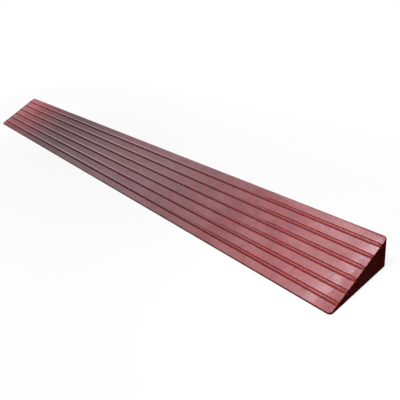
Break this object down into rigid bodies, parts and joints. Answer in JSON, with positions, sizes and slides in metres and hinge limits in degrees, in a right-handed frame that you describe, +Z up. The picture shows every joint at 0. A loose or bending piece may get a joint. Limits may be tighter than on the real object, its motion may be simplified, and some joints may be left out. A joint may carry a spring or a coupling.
{
  "type": "threshold ramp",
  "caption": "Long low wedge ramp that bridges a raised door sill, with raised anti-slip beads along its sloping face, closed ends and a flat base.",
  "frame": {"origin": "on the floor, under the middle of the ramp's box", "axes": "+X along the sill, +Y from the thin toe to the high back, +Z up"},
  "size_m": [1, 0.1, 0.04],
  "materials": {
    "deck": "half-gloss oxide red extruded plastic",
    "bead": "satin oxide red soft plastic",
    "cap": "half-gloss oxide red moulded plastic",
    "foot": "matt black grip strip"
  },
  "bodies": {
    "root": {"deck_profile": "deck", "tread_bead_1": "bead", "tread_bead_2": "bead", "tread_bead_3": "bead", "tread_bead_4": "bead", "tread_bead_5": "bead", "tread_bead_6": "bead", "end_cap_right": "cap", "end_cap_left": "cap", "foot_strip_front": "foot", "foot_strip_middle": "foot", "foot_strip_rear": "foot"}
  },
  "joints": []
}
